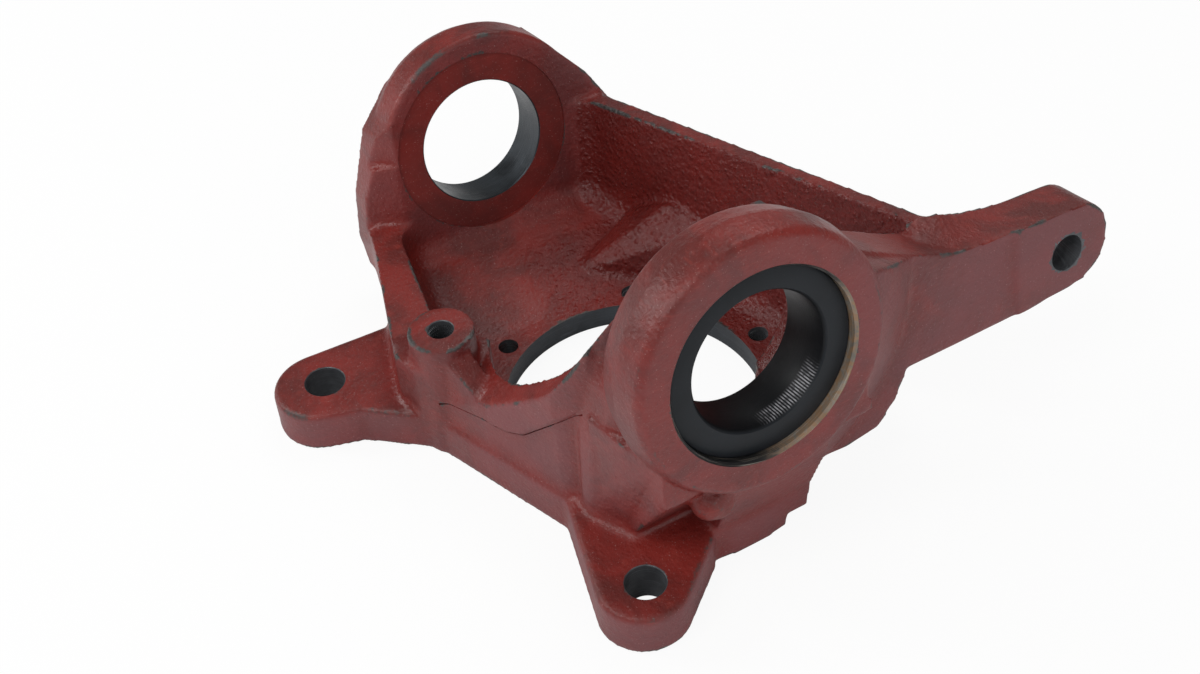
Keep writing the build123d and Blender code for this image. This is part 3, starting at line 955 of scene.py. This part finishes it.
    def lip_groove(self):
        """Thin dark groove under the lip of the front wall, shallower towards its upper end."""
        bm = bmesh.new()
        up = Vector((0.0, 0.0, 1.0))
        line = np.array(LIP_LINE)
        run = np.concatenate(([0.0], np.cumsum(np.hypot(*np.diff(line, axis=0).T))))
        flat_end = WALL_TURN + math.acos(WALL_FLAT / WALL_ROUND)
        rings = []
        for t in np.linspace(0.0, 1.0, 49):
            x, z = (float(np.interp(t * run[-1], run, line[:, n])) for n in (0, 1))
            y = (WALL_FLAT - WALL_NORMAL[0] * x) / WALL_NORMAL[1]
            out = Vector((*WALL_NORMAL, 0.0))
            if math.atan2(y, x) > flat_end:
                y = -math.sqrt(WALL_ROUND**2 - x * x)
                out = Vector((x, y, 0.0)).normalized()
            deep = 1.0 - 0.9 * max(0.0, (float(t) - 0.7) / 0.3)
            middle = Vector((x, y, z))
            corners = (-1.6 * deep * out, 0.8 * up + 2.6 * out, 0.1 * up + 3.2 * out, -0.6 * up + 2.6 * out)
            rings.append([bm.verts.new((middle + c) * MM) for c in corners])
        for a, b in zip(rings, rings[1:]):
            for n in range(4):
                bm.faces.new((a[n], a[(n + 1) % 4], b[(n + 1) % 4], b[n]))
        bm.faces.new(rings[0][::-1])
        bm.faces.new(rings[-1])
        bmesh.ops.recalc_face_normals(bm, faces=bm.faces)
        return object_from(bm, "cut_lip")

    def fill_corners(self, mesh, passes, grain):
        """Grows fillets in the inner corners and leaves flats and outer edges as they are."""
        a, b = ends = edge_ends(mesh)
        place, normal = points_and_normals(mesh)
        count = neighbours(ends, len(place))[:, None]
        least = 0.030 * grain
        share = self.fillet_share(place)
        for _ in range(passes):
            total = np.zeros_like(place)
            for axis in range(3):
                total[:, axis] = np.bincount(a, place[b, axis], len(place))
                total[:, axis] += np.bincount(b, place[a, axis], len(place))
            pull = total / count - place
            grow = np.einsum("ij,ij->i", pull, normal)
            grow = np.where(grow > least, grow - least, 0.0) * share
            place += 0.9 * grow[:, None] * normal
            mesh.vertices.foreach_set("co", place.ravel())
            mesh.update()
            normal = triples(mesh.vertex_normals, "vector")

    def fillet_share(self, place):
        """Full fillets in open corners, small ones round the nub, the front ear, the boss and the lip."""
        share = np.ones(len(place))
        station, away = kingpin_coordinates(place)
        x, y, z = (place / MM).T
        share *= np.clip((self.from_nub(place) - 9.0) / 10.0, 0.06, 1.0)
        ring = (station > FRONT_INNER_FACE - 8.0) & (station < FRONT_OUTER_FACE) & (y < 20.0)
        share[ring] *= np.clip((away[ring] - 56.0) / 14.0, 0.12, 1.0)
        boss = np.hypot(x - BOSS_CENTRE[0], y - BOSS_CENTRE[1])
        top = z > 47.0
        share[top] *= np.clip((boss[top] - 16.0) / 8.0, 0.10, 1.0)
        lip = np.array(LIP_LINE)
        near_lip = np.abs(z - np.interp(x, lip[:, 0], lip[:, 1])) < 3.5
        share[near_lip & (y < -40.0) & (x > -30.0) & (x < 56.0)] *= 0.1
        return share

    def from_nub(self, place):
        return np.linalg.norm(place / MM - np.array(NUB_CENTRE), axis=1)

    def ripple(self, mesh, height):
        """Moves the skin inwards by slow waves, except at the wheel-side face."""
        place, normal = points_and_normals(mesh)
        slow = np.array([noise.noise(Vector(p) * SLOW_WAVES) for p in place])
        quick = np.array([noise.noise(Vector(p) * QUICK_WAVES + Vector((7.0, 3.0, 1.0))) for p in place])
        sink = (0.5 + 0.30 * slow + 0.20 * quick) * height
        sink[place[:, 2] < 4.0 * MM] = 0.0
        place -= normal * sink[:, None]
        mesh.vertices.foreach_set("co", place.ravel())
        mesh.update()

    def store_skin(self, mesh):
        """Stores how sandy the skin is (rough in the pocket, fine outside) and how much dusty film and
        painted sheen it takes.
        """
        place, normal = points_and_normals(mesh)
        station, away = kingpin_coordinates(place)
        y, z = (place / MM).T[1:]
        coarse = np.full(len(place), OUTER_SAND)
        pocket = (y > 10) & (station > REAR_INNER_FACE + 1.0) & (station < 62.0)
        coarse[pocket & (normal[:, 1] < -0.2) & (z > 10)] = POCKET_SAND
        corner = (z < 50) & (z > 10.5) & (station > -115.0) & (station < 30.0)
        corner = corner & (y > -5) & (normal[:, 0] > -0.9)
        coarse[corner] = np.maximum(coarse[corner], CORNER_SAND)
        coarse[(np.abs(station - SPOT_FLOOR) < 0.6) & (away < 44.5)] = SPOT_SAND
        coarse[z < 1.0] = WHEEL_FACE_SAND
        coarse[(np.abs(station - ARM_FRONT_FACE) < 0.6) & (y > 136.0)] = ARM_PAD_SAND
        store(mesh, "coarse", blurred(coarse, edge_ends(mesh), 4))
        store(mesh, "dust_and_sheen", self.sheen_and_dust_share(place))

    def sheen_and_dust_share(self, place):
        """Where the pale film, dusty and partly a painted sheen, lies: thick on the arm, the outer walls
        and the lugs, thin elsewhere.
        """
        station = kingpin_coordinates(place)[0]
        x, y, z = (place / MM).T
        dust_and_sheen = np.full(len(place), 0.34)
        dust_and_sheen += 0.48 * np.clip((y - 25.0) / 40.0, 0.0, 1.0) * np.clip((station - 40.0) / 15.0, 0.0, 1.0)
        wall = np.clip((-y - 45.0) / 12.0, 0.0, 1.0) * np.clip((x + 20.0) / 20.0, 0.0, 1.0)
        dust_and_sheen += 0.40 * (wall * np.clip((64.0 - x) / 10.0, 0.0, 1.0))
        dust_and_sheen += 0.35 * (np.clip((19.0 - z) / 3.0, 0.0, 1.0) * (np.hypot(x, y) > 80.0))
        dust_and_sheen *= np.clip((self.from_nub(place) - 9.0) / 8.0, 0.0, 1.0)
        return np.clip(dust_and_sheen, 0.0, 0.95)

    def paint(self, mesh, finish, central, rear, spot, seat):
        """Primer on the cast skin and machined iron in the openings."""
        steel = finish.bore_steel
        # The seat's oil film shows only on its painted lit part; the rest is painted shadow
        film = {"film": finish.seat_tan, "side": SEAT_LIT_ANGLE}
        kingpin = (KINGPIN_TURN, KINGPIN_POINT)
        materials = (
            primer_material("red_primer_cast", finish, 1.0, 0.50, 1.0, 0.9),
            bored_material("bored_central", steel, 0.6, 0.42),
            bored_material("bored_kingpin", steel, 0.7, 0.36, *kingpin),
            bored_material("seat_bare", SEAT_IRON, 0.25, 0.34, *kingpin, **film),
            bored_material("drilled_lug", DRILLED_IRON, 0.30, 0.36),
            primer_material("red_primer_faced", finish, 0.6, 0.36, 0.15, 0.25),
        )
        cast, bored, kingpin_bore, bare_seat, drilled_hole, faced = range(len(materials))
        mesh.materials.clear()
        for material in materials:
            mesh.materials.append(material)

        centre, normal = triples(mesh.polygons, "center"), triples(mesh.polygons, "normal")
        station, away = kingpin_coordinates(centre)
        x, y, z = (centre / MM).T
        along = np.abs(normal @ np.array(KINGPIN_ALONG))
        index = np.full(len(centre), cast, dtype=np.int32)
        side_face = np.abs(normal[:, 2]) < 0.85
        index[(np.abs(np.hypot(x, y) - central) < 0.9) & (z < FLANGE_TOP + 0.6) & side_face] = bored
        index[(away < rear + 0.7) & (station < REAR_INNER_FACE + 0.5)] = kingpin_bore
        index[(away < seat + 1.5) & (station > FRONT_INNER_FACE - 4.0) & (along < 0.9)] = bare_seat
        eye = KINGPIN_FRAME.inverted()
        local = centre @ np.array(eye.to_3x3()).T + np.array(eye.translation)
        eye_away = np.hypot(local[:, 1] / MM - ARM_EYE[0], -local[:, 0] / MM - ARM_EYE[1])
        on_arm = (station > ARM_BACK_FACE - 1.0) & (station < ARM_FRONT_FACE + 1.0)
        index[(eye_away < ARM_EYE_HOLE + 0.9) & on_arm] = drilled_hole
        holes = (
            (REAR_LUG_CENTRE, REAR_LUG_HOLE + 0.7, LUG_TOP + 1.0),
            (FRONT_LUG_CENTRE, FRONT_LUG_HOLE + 0.7, LUG_TOP + 1.0),
            (BOSS_CENTRE, BOSS_HOLE + 0.8, BOSS_TOP + 0.2),
            *((stud, STUD_HOLE + 0.6, STUD_HOLE_FLOOR + 0.5) for stud in STUD_CENTRES),
        )
        for (hole_x, hole_y), reach, top in holes:
            near = (np.hypot(x - hole_x, y - hole_y) < reach) & (z < top)
            index[near & (np.abs(normal[:, 2]) < 0.9)] = drilled_hole
        index[(away > rear + 0.7) & (away < spot + 0.2) & (np.abs(station - SPOT_FLOOR) < 0.2)] = faced
        mesh.polygons.foreach_set("material_index", index)
        mesh.update()


class OBJECT_OT_knuckle_bush(bpy.types.Operator):
    """Turn the bush that is pressed into the front ear"""

    bl_idname = "object.knuckle_bush"
    bl_label = "Kingpin Bush"
    bl_options = {"REGISTER", "UNDO"}

    def execute(self, context):
        sizes = context.scene.knuckle_bush
        outer, bore, lead = sizes.outer / MM, sizes.bore / MM, sizes.lead_in / MM
        back = FRONT_INNER_FACE
        front = FRONT_OUTER_FACE - sizes.recess / MM
        profile = [
            (outer - 0.02, back + 0.7),
            (outer - 0.02, front - 0.7),
            (outer - 0.25, front - 0.2),
            (outer - 0.7, front),
            (bore + lead, front),
            (bore + 0.25, front - lead),
            (bore, front - lead - 0.5),
            (bore, back + 1.0),
            (bore + 1.0, back),
            (outer - 0.7, back),
            (outer - 0.02, back + 0.7),
        ]
        bush = lathe("bush_sleeve", profile, on_kingpin(), 192)
        shade(bush, TURNED_CREASE)
        bush.data.materials.append(bush_material("blackened_bush", sizes.colour))
        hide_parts("kingpin_bush")
        ride_and_slot(bush)
        return {"FINISHED"}


class OBJECT_OT_knuckle_threads(bpy.types.Operator):
    """Cut threads into the boss and the flange holes"""

    bl_idname = "object.knuckle_threads"
    bl_label = "Tapped Holes"
    bl_options = {"REGISTER", "UNDO"}

    def execute(self, context):
        finish = context.scene.knuckle_finish
        metal = bored_material("tapped_thread", THREAD_STEEL, 0.20, 0.30)
        painted = bored_material("tapped_thread_primed", PRIMED_THREAD, 0.35, 0.36, film=finish.primer)
        self.thread("boss_thread", BOSS_CENTRE, metal, **BOSS_THREAD)
        for n, centre in enumerate(STUD_CENTRES):
            skin = painted if n == PRIMED_STUD else metal
            self.thread(f"stud_thread_{n + 1}", centre, skin, **STUD_THREAD)
        return {"FINISHED"}

    def thread(self, name, centre, material, wall, crest, pitch, low, high):
        """One helical ridge on the wall of a hole."""
        per_turn = 36
        turns = (high - low - pitch) / pitch
        steps = int(turns * per_turn)
        bm = bmesh.new()
        corners = [
            (wall + 0.25, low),
            (wall + 0.25, low + 0.86 * pitch),
            (crest + 0.02, low + 0.50 * pitch),
            (crest + 0.02, low + 0.38 * pitch),
        ]
        points = [bm.verts.new(Vector((r, 0.0, z)) * MM) for r, z in corners]
        section = bm.faces.new(points)
        bmesh.ops.spin(
            bm,
            geom=[section, *section.edges, *points],
            cent=ORIGIN,
            axis=(0.0, 0.0, 1.0),
            dvec=Vector((0.0, 0.0, pitch * MM / per_turn)),
            angle=2 * math.pi * steps / per_turn,
            steps=steps,
            use_merge=False,
            use_duplicate=True,
        )
        bmesh.ops.remove_doubles(bm, verts=bm.verts, dist=1e-7)
        inner = [f for f in bm.faces if all(len(e.link_faces) > 2 for e in f.edges)]
        if inner:
            bmesh.ops.delete(bm, geom=inner, context="FACES_ONLY")
        bmesh.ops.recalc_face_normals(bm, faces=bm.faces)
        bmesh.ops.transform(bm, matrix=upright(*centre), verts=bm.verts)
        ridge = object_from(bm, name)
        ridge.data.materials.append(material)
        ride_and_slot(ridge)


class OBJECT_OT_knuckle_stage(bpy.types.Operator):
    """Set up the floor, the soft lights and the camera"""

    bl_idname = "object.knuckle_stage"
    bl_label = "Studio Stage"
    bl_options = {"REGISTER", "UNDO"}

    def execute(self, context):
        stage = context.scene.knuckle_stage
        bm = bmesh.new()
        below = Matrix.Translation((0.0, 0.0, -0.0003))
        bmesh.ops.create_grid(bm, x_segments=1, y_segments=1, size=4.0, matrix=below)
        floor = object_from(bm, "studio_floor")
        floor.data.materials.append(self.floor_material(stage.floor))
        self.world()
        for softbox in SOFTBOXES:
            self.lamp(*softbox)

        data = bpy.data.cameras.new("studio_camera")
        data.lens = stage.lens
        data.sensor_width = 36.0
        data.sensor_fit = "HORIZONTAL"
        data.clip_start = 0.02
        data.clip_end = 50.0
        camera = bpy.data.objects.new("studio_camera", data)
        camera.location = stage.camera_place
        camera.rotation_euler = stage.camera_turn
        context.scene.collection.objects.link(camera)
        context.scene.camera = camera
        context.scene.view_settings.view_transform = "Standard"
        return {"FINISHED"}

    def lamp(self, name, place, aim, size, power):
        data = bpy.data.lights.new(name, "AREA")
        data.shape = "SQUARE"
        data.size = size
        data.energy = power
        lamp = bpy.data.objects.new(name, data)
        lamp.location = place
        direction = Vector(aim) - Vector(place)
        lamp.rotation_euler = direction.to_track_quat("-Z", "Y").to_euler()
        bpy.context.scene.collection.objects.link(lamp)

    def floor_material(self, colour):
        mat = new_material("studio_floor")
        tree = mat.node_tree
        shader = put(tree, "ShaderNodeBsdfPrincipled", {"Base Color": (*colour, 1.0), "Roughness": 0.9})
        glow = put(tree, "ShaderNodeEmission", {"Color": WHITE, "Strength": 1.0})
        rays = put(tree, "ShaderNodeLightPath")
        seen = calc(tree, "MAXIMUM", rays.outputs["Is Camera Ray"], rays.outputs["Is Transmission Ray"])
        mixed_output(tree, "ShaderNodeOutputMaterial", times(tree, seen, FLOOR_GLOW), shader, glow)
        return mat

    def world(self):
        world = bpy.data.worlds.new("studio_world")
        world.use_nodes = True
        tree = world.node_tree
        tree.nodes.clear()
        rays = put(tree, "ShaderNodeLightPath")
        light = put(tree, "ShaderNodeBackground", {"Color": WHITE})
        plain = put(tree, "ShaderNodeBackground", {"Color": WHITE, "Strength": 1.0})
        glossy = rays.outputs["Is Glossy Ray"]
        dimmed = scaled(tree, glossy, REFLECTION_DIMMING, WORLD_LIGHT)
        wire(tree, dimmed, light.inputs["Strength"])
        mixed_output(tree, "ShaderNodeOutputWorld", rays.outputs["Is Camera Ray"], light, plain)
        bpy.context.scene.world = world


class VIEW3D_PT_knuckle(bpy.types.Panel):
    """Sizes, colours and build steps of the knuckle"""

    bl_idname = "VIEW3D_PT_knuckle"
    bl_label = "Steering Knuckle"
    bl_space_type = "VIEW_3D"
    bl_region_type = "UI"
    bl_category = "Knuckle"

    def draw(self, context):
        for name, operator in zip(SETTINGS, OPERATORS):
            box = self.layout.box()
            settings = getattr(context.scene, name)
            for field in settings.__annotations__:
                box.prop(settings, field)
            box.operator(operator.bl_idname)


SETTINGS = {
    "knuckle_casting": KnuckleCastingSettings,
    "knuckle_bush": KnuckleBushSettings,
    "knuckle_finish": KnuckleFinishSettings,
    "knuckle_stage": KnuckleStageSettings,
}
OPERATORS = (
    OBJECT_OT_knuckle_casting,
    OBJECT_OT_knuckle_bush,
    OBJECT_OT_knuckle_threads,
    OBJECT_OT_knuckle_stage,
)
CLASSES = (*SETTINGS.values(), *OPERATORS, VIEW3D_PT_knuckle)


def register():
    for cls in CLASSES:
        bpy.utils.register_class(cls)
    for name, settings in SETTINGS.items():
        setattr(bpy.types.Scene, name, PointerProperty(type=settings))


def unregister():
    for name in SETTINGS:
        delattr(bpy.types.Scene, name)
    for cls in reversed(CLASSES):
        bpy.utils.unregister_class(cls)


def main():
    register()
    bpy.ops.object.knuckle_casting()
    bpy.ops.object.knuckle_bush()
    bpy.ops.object.knuckle_threads()
    bpy.ops.object.knuckle_stage()


if __name__ == "__main__":
    main()
